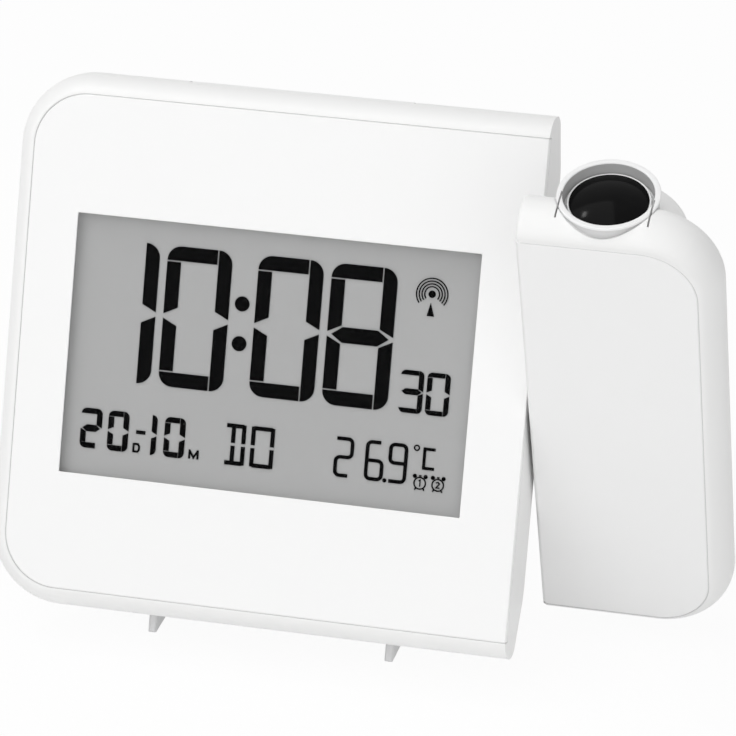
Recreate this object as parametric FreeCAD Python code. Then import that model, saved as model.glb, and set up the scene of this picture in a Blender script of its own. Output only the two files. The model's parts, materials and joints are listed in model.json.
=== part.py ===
import FreeCAD, Part
import math
import os

# Projection alarm clock with a slim leaning body and a projector arm on its right end.
# Everything is drawn upright first, in the clock's own frame: X to the right, Y to the
# back, Z up along the face, with the middle of the display on the front face at 0, 0, 0.
# At the end each piece is leaned back and lifted so that the foot stands on Z = 0.

V = FreeCAD.Vector
ORIGIN = V(0, 0, 0)
X_AXIS = V(1, 0, 0)
Y_AXIS = V(0, 1, 0)
Z_AXIS = V(0, 0, 1)

# Stance
lean_deg = 19.6
centre_x = 14.90
centre_y = 9.07

# Casing section, shared by the body and the arm
half_height = 42.0
back_y = 12.4
rim_start = (0.15, 0.75)
rim_rise = (2.3, 2.65)
rim_crest = (5.2, 3.4)
rim_fall = (7.3, 3.05)
rim_shoulder = (8.45, 2.2)
back_bend_start = (11.4, -4.1)
back_bend = (12.12, -5.9)
back_bend_end = -7.6
wall = 2.0
side_wall = 2.2
cavity_corner = 7.0
cavity_front_y = 1.0
cavity_step_y = 8.6
cavity_back_y = 10.9
rear_step = 6.0
rear_step_corner = 5.0

# Front plates
seam_gap = 0.06
plate_thickness = 1.5
plate_pocket = 1.6

# Body
body_left = -43.85
body_right = 43.9
body_corner = 9.2

# Display opening on the front face, wider at the back by its flare
display_left = -35.15
display_right = 34.25
display_half_height = 21.95
window_flare = 0.5
window_gap = 0.05
window_back = 1.2

# Display stack behind the plate
polarizer_front = 1.7
glass_front = 1.95
glass_middle = 3.05
glass_back = 4.15
glass_half_width = 37.0
glass_top = 24.2
glass_bottom = -24.2
ledge_bottom = -26.6
guide_back = 6.2
frame_back = 6.9
frame_wall = 1.5

# Main board
board_front = 7.0
board_back = 8.4
board_top = 31.0
board_tab_top = 36.8

# Rear bulge with the battery well
bulge_left = -39.0
bulge_right = 38.5
bulge_bottom = -36.0
bulge_top = 9.5
bulge_back = 22.0
bulge_wall = 1.6
bulge_round = 3.0
well_left = -36.5
well_right = 13.8
well_bottom = -27.3
well_top = -1.7
well_front = 9.55
door_thickness = 1.5
door_gap = 0.3

# Two AAA cells
cell_radius = 5.2
cell_length = 43.7
cell_y = 14.85
upper_cell_z = -8.1
lower_cell_z = -20.9
nub_length = 0.8
nub_radius = 1.9
contact_strip = 0.45
contact_half_width = 4.4
button_radius = 2.6
spring_room = 3.6
spring_wire = 0.3
spring_radius = 3.0
spring_turns = 3

# Arm
arm_gap = 0.6
arm_left = body_right + arm_gap
arm_right = 73.65
arm_corner = 9.3
arm_turn_deg = 38.4
arm_plate_drop = 0.45

# Pivot
pivot_y = 9.0
pivot_z = -1.5
hub_radius = 3.6
hub_bore = 2.2
running_gap = 0.05
boss_radius = 6.3
boss_bore = 4.9
clip_left = 38.2
clip_right = 39.0
groove_radius = 3.1

# Lens
lens_x = 57.95
lens_y = 9.25
ring_radius = 8.35
ring_neck = 8.05
ring_bore = 7.35
ring_top = 45.45
ring_lip = 0.5
ring_foot = 38.3
ring_seat = 42.6
ring_tail = 36.0
cell_bore = 6.8
cell_foot = 38.5
cell_top = 43.75
lens_radius = 6.4
lens_back = 42.32
dome_radius = 17.0
dome_top = 45.05
notch_width = 0.3
notch_offset = 7.45

# Hump over the optics
hump_radius = 12.5
hump_top = 38.8
hump_bottom = -30.0
hump_round = 2.4
hump_wall = 1.6
tube_radius = 7.0
tube_top = 35.6

# Foot
foot_centre = 0.8
foot_half = 20.9
cheek_thickness = 1.45
tip_y = 12.0
tip_z = -49.9
hinge_y = 17.5
hinge_z = -40.5
hinge_pin_radius = 1.0
hinge_eye_radius = 2.6
foot_length = 30.0
foot_plate = 1.6
foot_plate_start = 7.0

# Keys on the back
key_z = 17.5
key_width = 8.0
key_height = 4.6
key_gap = 0.3
key_back = 13.3
key_names = ("mode_button", "set_button", "up_button", "down_button", "alarm_button")
key_first_x = -28.0
key_pitch = 12.0
dish_radius = 14.0
switch_x = 32.0
reset_x = 18.6
reset_z = -0.4
inlet_x = 27.0
inlet_z = -0.4

# Snooze bar on the top
snooze_left = -18.5
snooze_right = 19.7
snooze_front = 4.6
snooze_back = 10.6
snooze_end_gap = 0.45
snooze_side_gap = 0.1

# Sound slots in front of the buzzer
buzzer_x = 26.5
buzzer_z = -20.0
sound_slots = 5
sound_pitch = 2.8

# Screws
screw_pilot = 0.9
screw_recess = 1.9
screw_sunk = 2.4
housing_screw_places = ((-34.0, 34.6), (37.6, 35.4), (-34.0, -34.6), (37.6, -36.6))
arm_screw_places = ((52.0, -33.0), (69.0, -32.0), (69.5, 33.0))


# Basic shapes

def box(x0, x1, y0, y1, z0, z1):
    return Part.makeBox(x1 - x0, y1 - y0, z1 - z0, V(x0, y0, z0))


def block_at(x, z, width, height, y0, y1):
    """Box centred on x and z, from y0 back to y1."""
    return box(x - width / 2, x + width / 2, y0, y1, z - height / 2, z + height / 2)


def rod_x(radius, x0, x1, y, z):
    return Part.makeCylinder(radius, x1 - x0, V(x0, y, z), X_AXIS)


def rod_y(radius, y0, y1, x, z):
    return Part.makeCylinder(radius, y1 - y0, V(x, y0, z), Y_AXIS)


def on_pivot(radius, x0, x1):
    """Cylinder round the axis on which the arm turns."""
    return rod_x(radius, x0, x1, pivot_y, pivot_z)


def on_lens(radius, z0, z1):
    """Cylinder round the lens axis."""
    return Part.makeCylinder(radius, z1 - z0, V(lens_x, lens_y, z0), Z_AXIS)


def join(shapes):
    return shapes[0].fuse(shapes[1:]).removeSplitter()


def cut_all(shape, cuts):
    for cut in cuts:
        shape = shape.cut(cut)
    return shape


def pill(width, height, x, z, y0, y1):
    """Rounded bar facing back, along X if it is wider than high, else along Z."""
    radius = min(width, height) / 2
    reach_x = width / 2 - radius
    reach_z = height / 2 - radius
    if width > height:
        middle = box(x - reach_x, x + reach_x, y0, y1, z - radius, z + radius)
    else:
        middle = box(x - radius, x + radius, y0, y1, z - reach_z, z + reach_z)
    ends = [rod_y(radius, y0, y1, x + side * reach_x, z + side * reach_z) for side in (-1, 1)]
    return join([middle] + ends)


def prism_x(points, x0, x1):
    """Prism along X on a polygon of (y, z) points."""
    corners = [V(x0, y, z) for y, z in points]
    wire = Part.makePolygon(corners + [corners[0]])
    return Part.Face(wire).extrude(V(x1 - x0, 0, 0))


def frustum(y0, y1, flare, margin):
    """Block through the display opening, growing by the flare from y0 to y1."""
    wires = []
    for y, grow in ((y0, margin), (y1, margin + flare)):
        x0 = display_left - grow
        x1 = display_right + grow
        top = display_half_height + grow
        corners = [V(x0, y, -top), V(x1, y, -top), V(x1, y, top), V(x0, y, top), V(x0, y, -top)]
        wires.append(Part.makePolygon(corners))
    return Part.makeLoft(wires, True, True)


# Casing

def plate_outline(x0, x1, half_z, corner, rounded_end):
    """Rectangle in the XZ plane with two round corners at one end: -1 left, 1 right."""
    if rounded_end > 0:
        flipped = plate_outline(-x1, -x0, half_z, corner, -1)
        return flipped.mirror(ORIGIN, X_AXIS)
    bend = corner * math.sqrt(0.5)
    low = -half_z + corner
    high = half_z - corner
    inner = x0 + corner
    edges = [
        Part.LineSegment(V(x1, 0, -half_z), V(x1, 0, half_z)).toShape(),
        Part.LineSegment(V(x1, 0, half_z), V(inner, 0, half_z)).toShape(),
        Part.Arc(V(inner, 0, half_z), V(inner - bend, 0, high + bend), V(x0, 0, high)).toShape(),
        Part.LineSegment(V(x0, 0, high), V(x0, 0, low)).toShape(),
        Part.Arc(V(x0, 0, low), V(inner - bend, 0, low - bend), V(inner, 0, -half_z)).toShape(),
        Part.LineSegment(V(inner, 0, -half_z), V(x1, 0, -half_z)).toShape(),
    ]
    return Part.Face(Part.Wire(edges))


def slab(x0, x1, half_z, corner, rounded_end, y0, y1):
    face = plate_outline(x0, x1, half_z, corner, rounded_end)
    return face.translated(V(0, y0, 0)).extrude(V(0, y1 - y0, 0))


def rim_section(corner, x):
    """Section through the rim, in the plane at x, from a corner's centre outwards."""
    def at(y, outward):
        return V(x, y, half_height + outward)
    edges = [
        Part.LineSegment(at(0, -corner), at(0, 0.2)).toShape(),
        Part.LineSegment(at(0, 0.2), at(*rim_start)).toShape(),
        Part.Arc(at(*rim_start), at(*rim_rise), at(*rim_crest)).toShape(),
        Part.Arc(at(*rim_crest), at(*rim_fall), at(*rim_shoulder)).toShape(),
        Part.LineSegment(at(*rim_shoulder), at(*back_bend_start)).toShape(),
        Part.Arc(at(*back_bend_start), at(*back_bend), at(back_y, back_bend_end)).toShape(),
        Part.LineSegment(at(back_y, back_bend_end), at(back_y, -corner)).toShape(),
        Part.LineSegment(at(back_y, -corner), at(0, -corner)).toShape(),
    ]
    return Part.Face(Part.Wire(edges))


def casing(round_x, flat_x, corner):
    """Pillow-edged casing with its round corners at round_x and a flat end at flat_x."""
    if round_x > flat_x:
        return casing(-round_x, -flat_x, corner).mirror(ORIGIN, X_AXIS)
    inner = round_x + corner
    high = half_height - corner
    section = rim_section(corner, inner)
    top = section.extrude(V(flat_x - inner, 0, 0))
    bend = section.revolve(V(inner, 0, high), Y_AXIS, -90)
    side_face = section.rotated(V(inner, 0, high), Y_AXIS, -90)
    side = side_face.extrude(V(0, 0, -2 * high))
    mirrored = [top.mirror(ORIGIN, Z_AXIS), bend.mirror(ORIGIN, Z_AXIS)]
    middle = box(inner, flat_x, 0, back_y, -high, high)
    return join([middle, top, bend, side] + mirrored)


def casing_hollows(x0, x1, rounded_end):
    """Main room of a casing and the narrower room behind it."""
    round_left = rounded_end < 0
    deep_left = x0 + (rear_step - side_wall if round_left else 0)
    deep_right = x1 - (0 if round_left else rear_step - side_wall)
    main_half = half_height - side_wall
    rear_half = half_height - rear_step
    rear_front_y = cavity_step_y - 0.6
    return [
        slab(x0, x1, main_half, cavity_corner, rounded_end, cavity_front_y, cavity_step_y),
        slab(deep_left, deep_right, rear_half, rear_step_corner, rounded_end, rear_front_y, cavity_back_y),
    ]


# Screws

def screws(places):
    """Countersunk cross-head screws that come in from the back."""
    made = []
    head_front = back_y - screw_sunk
    head_back = head_front + 1.2
    for x, z in places:
        head = rod_y(screw_recess - 0.1, head_front, head_back, x, z)
        bit_front = head_back - 0.5
        cross = [block_at(x, z, 2.2, 0.4, bit_front, back_y), block_at(x, z, 0.4, 2.2, bit_front, back_y)]
        shank = rod_y(screw_pilot - 0.02, 3.4, head_front, x, z)
        made.append(join([cut_all(head, cross), shank]))
    return Part.Compound(made)


def screw_holes(places):
    holes = []
    for x, z in places:
        holes.append(rod_y(screw_pilot, 3.0, back_y + 1, x, z))
        holes.append(rod_y(screw_recess, back_y - screw_sunk, back_y + 2, x, z))
    return holes


def screw_posts(places, radius, back):
    return [rod_y(radius, plate_pocket + 0.1, back, x, z) for x, z in places]


# Front of the body

def face_plate():
    half = half_height - seam_gap
    plate = slab(body_left + seam_gap, body_right, half, body_corner, -1, 0, plate_thickness)
    return plate.cut(frustum(0, plate_thickness, window_flare, 0))


def display_window():
    """Clear window that fills the flared opening, flush with the front."""
    share = (window_back - window_gap) / plate_thickness
    return frustum(window_gap, window_back, window_flare * share, -window_gap)


def front_polarizer():
    return box(-36.5, 36.5, polarizer_front, glass_front, -23.6, 23.6)


def lcd_cell():
    """Two glass plates; the front one carries the contact ledge."""
    wide = glass_half_width
    front_glass = box(-wide, wide, glass_front, glass_middle, ledge_bottom, glass_top)
    rear_glass = box(-wide, wide, glass_middle, glass_back, glass_bottom, glass_top)
    return join([front_glass, rear_glass])


def backlight_guide():
    return box(-36.0, 35.4, glass_back, guide_back, -23.4, 23.8)


def backlight_led():
    return box(35.4, 36.6, glass_back + 0.05, guide_back - 0.4, -2.0, 2.0)


def lcd_frame():
    """Frame round the glass, with a notch where the pivot hub comes in."""
    inner = glass_half_width + 0.1
    outer = inner + frame_wall
    low = ledge_bottom - 0.3
    high = glass_top + 0.3
    rim = box(-outer, outer, polarizer_front, frame_back, low - frame_wall, high + frame_wall)
    opening = box(-inner, inner, cavity_front_y, frame_back + 1, low, high)
    notch = on_pivot(boss_bore + 0.2, inner - 0.5, outer + 1)
    return cut_all(rim, [opening, notch])


def zebra_strip():
    return box(-34.0, 34.0, glass_middle, board_front, -26.4, -24.4)


# Electronics

def main_board():
    board = box(-36.0, 33.0, board_front, board_back, -26.8, board_top)
    tab = box(-8.0, 8.0, board_front, board_back, board_top, board_tab_top)
    return join([board, tab])


def key_centres():
    return [key_first_x + key_pitch * index for index in range(len(key_names))]


def tact_switches():
    """One switch under each key, one under the snooze bar, one under the reset pin."""
    bodies = []
    for x in key_centres():
        case = block_at(x, key_z, 5.2, 5.2, board_back, 9.6)
        bodies.append(join([case, rod_y(1.2, 9.6, 9.7, x, key_z)]))
    snooze_case = box(-2.4, 3.6, board_back, 10.2, 33.6, board_tab_top)
    snooze_plunger = box(-0.4, 1.6, 8.8, 9.8, board_tab_top, board_tab_top + 0.3)
    bodies.append(join([snooze_case, snooze_plunger]))
    reset_case = block_at(reset_x, reset_z, 3.6, 3.6, board_back, 9.4)
    bodies.append(join([reset_case, rod_y(0.8, 9.4, 9.6, reset_x, reset_z)]))
    return Part.Compound(bodies)


def chip():
    return box(-6.0, 4.0, board_front - 0.8, board_front, 26.6, 32.4)


def quartz_crystal():
    return rod_x(1.0, 10.0, 16.0, board_back + 1.0, 27.0)


def temperature_sensor():
    return Part.makeSphere(1.1, V(-33.0, board_back + 1.2, 6.0))


def buzzer():
    shell = rod_y(6.5, board_back, 15.4, buzzer_x, buzzer_z)
    return shell.cut(rod_y(1.2, 14.2, 16.0, buzzer_x, buzzer_z))


def antenna_rod():
    return rod_x(2.9, -28.0, 26.0, 6.1, -33.0)


def antenna_coil():
    return rod_x(3.7, -9.0, 7.0, 6.1, -33.0).cut(antenna_rod())


def switch_case():
    return box(switch_x - 4.6, switch_x + 0.9, board_back, 10.2, key_z - 1.9, key_z + 1.9)


def power_inlet():
    block = block_at(inlet_x, inlet_z, 8.0, 8.0, 12.6, bulge_back)
    bore = rod_y(2.75, 15.0, bulge_back + 1, inlet_x, inlet_z)
    pin = rod_y(0.65, 15.0, bulge_back - 0.6, inlet_x, inlet_z)
    return block.cut(bore).fuse(pin).removeSplitter()


# Battery well contents

def battery_cells():
    """Two cells side by side, the upper one with its nub to the right."""
    start = well_left + contact_strip + spring_room
    upper_end = start + cell_length
    upper_can = rod_x(cell_radius, start, upper_end, cell_y, upper_cell_z)
    upper_nub = rod_x(nub_radius, upper_end, upper_end + nub_length, cell_y, upper_cell_z)
    end = well_right - contact_strip - spring_room
    lower_start = end - cell_length
    lower_can = rod_x(cell_radius, lower_start, end, cell_y, lower_cell_z)
    lower_nub = rod_x(nub_radius, lower_start - nub_length, lower_start, cell_y, lower_cell_z)
    return Part.Compound([join([upper_can, upper_nub]), join([lower_can, lower_nub])])


def contact_spring(x0, z):
    length = spring_room - 2 * spring_wire - 0.06
    points = []
    for step in range(16 * spring_turns + 1):
        angle = 2 * math.pi * step / 16
        height = length * step / (16 * spring_turns)
        points.append(V(spring_radius * math.cos(angle), spring_radius * math.sin(angle), height))
    curve = Part.BSplineCurve()
    curve.interpolate(points)
    circle = Part.Wire(Part.Circle(V(spring_radius, 0, 0), Y_AXIS, spring_wire).toShape())
    coil = Part.Wire(curve.toShape()).makePipeShell([circle], True, True)
    coil.rotate(ORIGIN, Y_AXIS, 90)
    coil.translate(V(x0 + spring_wire + 0.03, cell_y, z))
    return coil


def battery_springs():
    left = well_left + contact_strip
    right = well_right - contact_strip - spring_room
    return Part.Compound([contact_spring(left, upper_cell_z), contact_spring(right, lower_cell_z)])


def contact_plate(x0, low_z, high_z):
    """Contact plate against one end of the well, covering the cells from low_z to high_z."""
    low = low_z - contact_half_width
    high = high_z + contact_half_width
    return box(x0, x0 + contact_strip - 0.05, 10.2, 19.4, low, high)


def battery_contacts():
    """Plates at both ends of the well, with a raised button under each nub."""
    left_x = well_left + 0.05
    right_x = well_right - contact_strip
    nub_reach = contact_strip + spring_room + cell_length + nub_length
    low_button = rod_x(button_radius, well_left + contact_strip, well_right - nub_reach, cell_y, lower_cell_z)
    high_button = rod_x(button_radius, well_left + nub_reach, right_x, cell_y, upper_cell_z)
    upper_left = contact_plate(left_x, upper_cell_z, upper_cell_z)
    lower_left = contact_plate(left_x, lower_cell_z, lower_cell_z)
    right = contact_plate(right_x, lower_cell_z, upper_cell_z)
    return Part.Compound([upper_left, join([lower_left, low_button]), join([right, high_button])])


# Rear housing

def bulge_solid():
    """Raised back over the battery well, rounded all round."""
    block = box(bulge_left, bulge_right, cavity_back_y, bulge_back, bulge_bottom, bulge_top)
    outer = []
    for edge in block.Edges:
        runs_back = abs(edge.tangentAt(edge.FirstParameter).y) > 0.9
        if edge.CenterOfMass.y > back_y or runs_back:
            outer.append(edge)
    return block.makeFillet(bulge_round, outer)


def bulge_hollow():
    return box(bulge_left + bulge_wall, bulge_right - bulge_wall, 8.0, bulge_back - bulge_wall,
               bulge_bottom + bulge_wall, bulge_top - bulge_wall)


def battery_well_block():
    """Walls of the battery well, before the well itself is cut."""
    return box(bulge_left + bulge_wall, well_right + 0.9, well_front - 0.7, bulge_back - bulge_wall,
               well_bottom - 0.9, well_top + 0.9)


def battery_well_room():
    return box(well_left, well_right, well_front, bulge_back + 1, well_bottom, well_top)


def door_outline(gap, thickness):
    """Block in which the battery door lies, grown by the gap at its free edges."""
    return box(bulge_left - 1, well_right + 0.5 + gap, bulge_back - thickness, bulge_back + 1,
               -28.1 - gap, -0.9 + gap)


def hinge_lugs():
    lugs = []
    for side in (-1, 1):
        inner = foot_centre + side * (foot_half - 3.2)
        outer = foot_centre + side * (foot_half - 1.0)
        x0, x1 = sorted((inner, outer))
        lug = box(x0, x1, hinge_y - hinge_eye_radius, hinge_y + hinge_eye_radius, hinge_z, bulge_bottom + 1)
        lugs.append(join([lug, rod_x(hinge_eye_radius, x0, x1, hinge_y, hinge_z)]))
    return lugs


def snooze_opening():
    return box(snooze_left - snooze_end_gap, snooze_right + snooze_end_gap,
               snooze_front - snooze_side_gap, snooze_back + 0.3, 39.0, 47.0)


def rear_openings():
    """Every opening of the rear housing, in the order front to back."""
    cuts = [battery_well_room(), door_outline(door_gap, door_thickness + 0.25)]
    cuts.append(on_pivot(hub_radius + running_gap, 39.0, body_right + 1))
    cuts.append(rod_x(hinge_pin_radius, -30, 30, hinge_y, hinge_z))
    cuts += screw_holes(housing_screw_places)
    for x in key_centres():
        cuts.append(pill(key_width + 2 * key_gap, key_height + 2 * key_gap, x, key_z, 9, 14))
    cuts.append(box(switch_x - 5.2, switch_x + 1.4, 9, 14, key_z - 1.6, key_z + 1.6))
    cuts.append(block_at(inlet_x, inlet_z, 8.2, 8.2, 12.5, bulge_back + 1))
    cuts.append(rod_y(1.3, 18, 24, reset_x, reset_z))
    cuts.append(box(-2.8, 4.0, 8, 10.4, 35.5, 39.8))
    for index in range(sound_slots):
        x = buzzer_x + sound_pitch * (index - (sound_slots - 1) / 2)
        cuts.append(pill(1.2, 9.0, x, buzzer_z, 18, 24))
    cuts.append(snooze_opening())
    return cuts


def rear_housing():
    boss = on_pivot(boss_radius, 34.0, body_right)
    shell = join([casing(body_left, body_right, body_corner), bulge_solid(), boss])
    left = body_left - seam_gap
    half = half_height + seam_gap
    pocket = slab(left, body_right + 1, half, body_corner, -1, -1, plate_pocket)
    hollows = casing_hollows(body_left + side_wall, body_right - wall, -1)
    hollows += [bulge_hollow(), on_pivot(boss_bore, 33.0, body_right - wall)]
    shell = cut_all(shell.cut(pocket), hollows)
    collar = on_pivot(5.4, 39.6, body_right)
    posts = screw_posts(housing_screw_places, 2.6, back_y - 1.0)
    shell = join([shell, battery_well_block(), collar] + hinge_lugs() + posts)
    return cut_all(shell, rear_openings()).removeSplitter()


def housing_screws():
    return screws(housing_screw_places)


# Foot

def in_foot_frame(along, height):
    """Body-frame Y, Z of a point given along the table from the hinge and above it."""
    lean = math.radians(lean_deg)
    drop = (tip_z - hinge_z) * math.cos(lean) - (tip_y - hinge_y) * math.sin(lean)
    rise = height + drop
    y = hinge_y + along * math.cos(lean) - rise * math.sin(lean)
    z = hinge_z + along * math.sin(lean) + rise * math.cos(lean)
    return y, z


def cheek_starts():
    """Left faces of the two cheeks."""
    return [foot_centre + side * foot_half - cheek_thickness / 2 for side in (-1, 1)]


def cheek_outline():
    lean = math.radians(lean_deg)
    hinge_height = (hinge_z - tip_z) * math.cos(lean) - (hinge_y - tip_y) * math.sin(lean)
    return [
        (tip_y, tip_z),
        in_foot_frame(foot_length, 0),
        in_foot_frame(foot_length, foot_plate),
        in_foot_frame(foot_plate_start, foot_plate),
        in_foot_frame(hinge_eye_radius, hinge_height),
        (hinge_y - 2.2, hinge_z + 1.4),
        (tip_y, tip_z + 4.6),
    ]


def foot():
    """Two cheeks on the hinge, joined behind by a plate with a window in it."""
    pieces = []
    for x0 in cheek_starts():
        pieces.append(prism_x(cheek_outline(), x0, x0 + cheek_thickness))
        pieces.append(rod_x(hinge_eye_radius, x0, x0 + cheek_thickness, hinge_y, hinge_z))
    left = cheek_starts()[0]
    right = cheek_starts()[1] + cheek_thickness
    far = foot_length
    near = foot_plate_start
    base = [in_foot_frame(near, 0), in_foot_frame(far, 0), in_foot_frame(far, foot_plate),
            in_foot_frame(near, foot_plate)]
    window = [in_foot_frame(near + 4, -1), in_foot_frame(far - 7, -1), in_foot_frame(far - 7, 3),
              in_foot_frame(near + 4, 3)]
    plate = prism_x(base, left, right).cut(prism_x(window, left + 7, right - 7))
    whole = join(pieces + [plate])
    return whole.cut(rod_x(hinge_pin_radius + running_gap, -30, 30, hinge_y, hinge_z))


def hinge_pins():
    pins = []
    for side in (-1, 1):
        inner = foot_centre + side * (foot_half - 2.6)
        outer = foot_centre + side * (foot_half + 0.9)
        x0, x1 = sorted((inner, outer))
        pins.append(rod_x(hinge_pin_radius, x0, x1, hinge_y, hinge_z))
    return Part.Compound(pins)


# Moving trim of the body

def battery_door():
    skin = bulge_solid().common(door_outline(0, door_thickness))
    ribs = [box(-30.0 + 2.4 * index, -29.0 + 2.4 * index, bulge_back - 0.3, bulge_back + 0.5, -19.0, -10.0)
            for index in range(4)]
    return join([skin] + ribs)


def snooze_bar():
    """Slice of the casing's rim on three stems, with a striker over its switch."""
    cap = casing(body_left, body_right, body_corner)
    cap = cap.common(box(snooze_left, snooze_right, snooze_front, snooze_back, 40.6, 47.0))
    flange = box(snooze_left - 1.2, snooze_right + 1.2, 4.9, 8.3, 37.9, 38.7)
    striker = box(-1.4, 2.6, 8.0, 10.0, 37.9, 38.7)
    stems = [box(x - 1.5, x + 1.5, snooze_front + 1.5, 8.2, 38.2, 41.5) for x in (-15.0, 0.6, 16.0)]
    return join([cap, flange, striker] + stems)


def key(x):
    """Pill-shaped key with a dished face and a flange that keeps it in."""
    cap = pill(key_width, key_height, x, key_z, 10.6, key_back)
    flange = pill(key_width + 1.6, key_height + 1.4, x, key_z, 10.3, 10.75)
    dish = Part.makeSphere(dish_radius, V(x, key_back + dish_radius - 0.25, key_z))
    return join([cap, flange]).cut(dish)


def reset_button():
    stem = rod_y(1.0, 10.2, bulge_back - 0.5, reset_x, reset_z)
    return join([stem, rod_y(1.7, 18.6, 19.4, reset_x, reset_z)])


def projection_switch():
    """Slide knob with three grip grooves."""
    knob = box(switch_x - 4.6, switch_x - 1.4, 10.4, 13.4, key_z - 1.25, key_z + 1.25)
    grooves = [block_at(switch_x - 3.9 + 0.9 * index, key_z, 0.3, 4.0, 13.0, 14.0) for index in range(3)]
    return cut_all(knob, grooves)


# Arm

def arm_slab(x0, x1, half_z, y0, y1):
    """Slab with the arm's rounded end, shifted as the arm's front plate is."""
    return slab(x0, x1, half_z, arm_corner, 1, y0, y1).translated(V(0, 0, -arm_plate_drop))


def ring_hole():
    return on_lens(ring_radius + 0.25, ring_foot - 0.3, 60)


def arm_face_plate():
    plate = arm_slab(arm_left, arm_right - seam_gap, half_height - seam_gap, 0, plate_thickness)
    return plate.cut(ring_hole())


def notches(y0, y1, z0):
    """Two thin cuts beside the lens, which line up across the casing and the ring."""
    made = []
    for side in (-1, 1):
        x = lens_x + side * notch_offset
        made.append(box(x - notch_width / 2, x + notch_width / 2, y0, y1, z0, 47.0))
    return made


def hump():
    """Round back of the arm, which covers the optics."""
    barrel = on_lens(hump_radius, hump_bottom, hump_top)
    ends = [edge for edge in barrel.Edges if edge.BoundBox.ZLength < 0.1]
    behind = box(40, 80, back_y - 3.0, 40, -60, 60)
    return barrel.makeFillet(hump_round, ends).common(behind)


def arm_housing():
    boss = on_pivot(boss_radius, arm_left, 52.0)
    shell = join([casing(arm_right, arm_left, arm_corner), hump(), boss])
    pocket = arm_slab(arm_left - 1, arm_right + seam_gap, half_height + seam_gap, -1, plate_pocket)
    hollows = casing_hollows(arm_left + wall, arm_right - side_wall, 1)
    hollows.append(on_lens(hump_radius - hump_wall, hump_bottom + 1.8, 34.0))
    shell = cut_all(shell.cut(pocket), hollows)
    deck = box(47.0, 70.0, 3.0, 17.0, 33.6, 35.7).common(on_lens(hump_radius - 1.2, 30, 40))
    posts = screw_posts(arm_screw_places, 2.4, cavity_back_y + 0.5)
    shell = join([shell, deck] + posts)
    cuts = [
        ring_hole(),
        on_lens(ring_bore + 0.25, 35.7, 60),
        on_lens(tube_radius + 0.05, 30.0, 36.0),
        on_pivot(hub_radius + 0.02, arm_left - 1, 47.0),
        on_pivot(boss_bore, arm_left + wall, 53.0),
    ]
    cuts += screw_holes(arm_screw_places)
    cuts += notches(3.0, 7.2, 43.4)
    return cut_all(shell, cuts).removeSplitter()


def arm_screws():
    return screws(arm_screw_places)


def pivot_hub():
    """Hollow hub fixed in the arm, with a groove for the clip inside the body."""
    tube = on_pivot(hub_radius, 37.6, 48.0)
    flange = on_pivot(4.8, 46.5, 48.0)
    groove = on_pivot(6.0, clip_left, clip_right).cut(on_pivot(groove_radius, 38.0, 39.2))
    return cut_all(join([tube, flange]), [groove, on_pivot(hub_bore, 37, 49)])


def hub_clip():
    ring = on_pivot(4.6, clip_left, clip_right).cut(on_pivot(groove_radius + 0.02, 38, 39.2))
    mouth = box(38, 39.2, pivot_y - 2.2, pivot_y + 2.2, pivot_z - 6, pivot_z)
    return ring.cut(mouth)


def friction_washer():
    return on_pivot(4.6, clip_right + 0.05, 39.5).cut(on_pivot(hub_radius + 0.1, 39, 40))


def projector_lead():
    return on_pivot(1.2, 36.0, 52.0)


def projector_tube():
    tube = on_lens(tube_radius, 4.0, tube_top).cut(on_lens(tube_radius - 0.8, 5.2, 36))
    return tube.cut(on_lens(3.0, 3, 6))


def projection_lcd():
    half = 4.2
    return box(lens_x - half, lens_x + half, lens_y - half, lens_y + half, 20.0, 21.6)


def condenser_lens():
    ball = Part.makeSphere(9.0, V(lens_x, lens_y, 5.0))
    return ball.common(on_lens(6.15, 11.0, 15.0))


def projector_led():
    return join([on_lens(2.5, 3.2, 7.6), Part.makeSphere(2.5, V(lens_x, lens_y, 7.6))])


def projector_board():
    return box(lens_x - 6.5, lens_x + 6.5, lens_y - 5.0, lens_y + 6.5, 1.8, 3.2)


def focus_ring():
    """Ring with a lip on a narrower neck, a seat inside and two index notches."""
    lip = on_lens(ring_radius, ring_top - ring_lip, ring_top)
    rims = [edge for edge in lip.Edges if edge.BoundBox.ZLength < 0.1]
    lip = lip.makeFillet(0.2, rims)
    neck = on_lens(ring_neck, ring_foot, ring_top - ring_lip / 2)
    tail = on_lens(ring_bore, ring_tail, ring_foot + 0.5)
    bores = [on_lens(ring_bore, ring_seat, 50), on_lens(cell_bore, 30, 50)]
    index_notches = notches(lens_y - 5.0, lens_y - 0.4, ring_seat + 0.4)
    return cut_all(join([lip, neck, tail]), bores + index_notches)


def lens_cell():
    """Carrier that slides in the focus ring and holds the objective lens."""
    cup = on_lens(cell_bore - running_gap, cell_foot, cell_top)
    return cut_all(cup, [on_lens(5.6, 38, 44), on_lens(lens_radius + 0.02, lens_back - 0.02, 44)])


def objective_lens():
    dome = Part.makeSphere(dome_radius, V(lens_x, lens_y, dome_top - dome_radius))
    return dome.common(on_lens(lens_radius, lens_back, 50))


# All pieces

def arm_pieces():
    return {
        "arm_face_plate": arm_face_plate(),
        "arm_housing": arm_housing(),
        "arm_screws": arm_screws(),
        "pivot_hub": pivot_hub(),
        "hub_clip": hub_clip(),
        "friction_washer": friction_washer(),
        "projector_lead": projector_lead(),
        "projector_tube": projector_tube(),
        "projection_lcd": projection_lcd(),
        "condenser_lens": condenser_lens(),
        "projector_led": projector_led(),
        "projector_board": projector_board(),
        "focus_ring": focus_ring(),
        "lens_cell": lens_cell(),
        "objective_lens": objective_lens(),
    }


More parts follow.
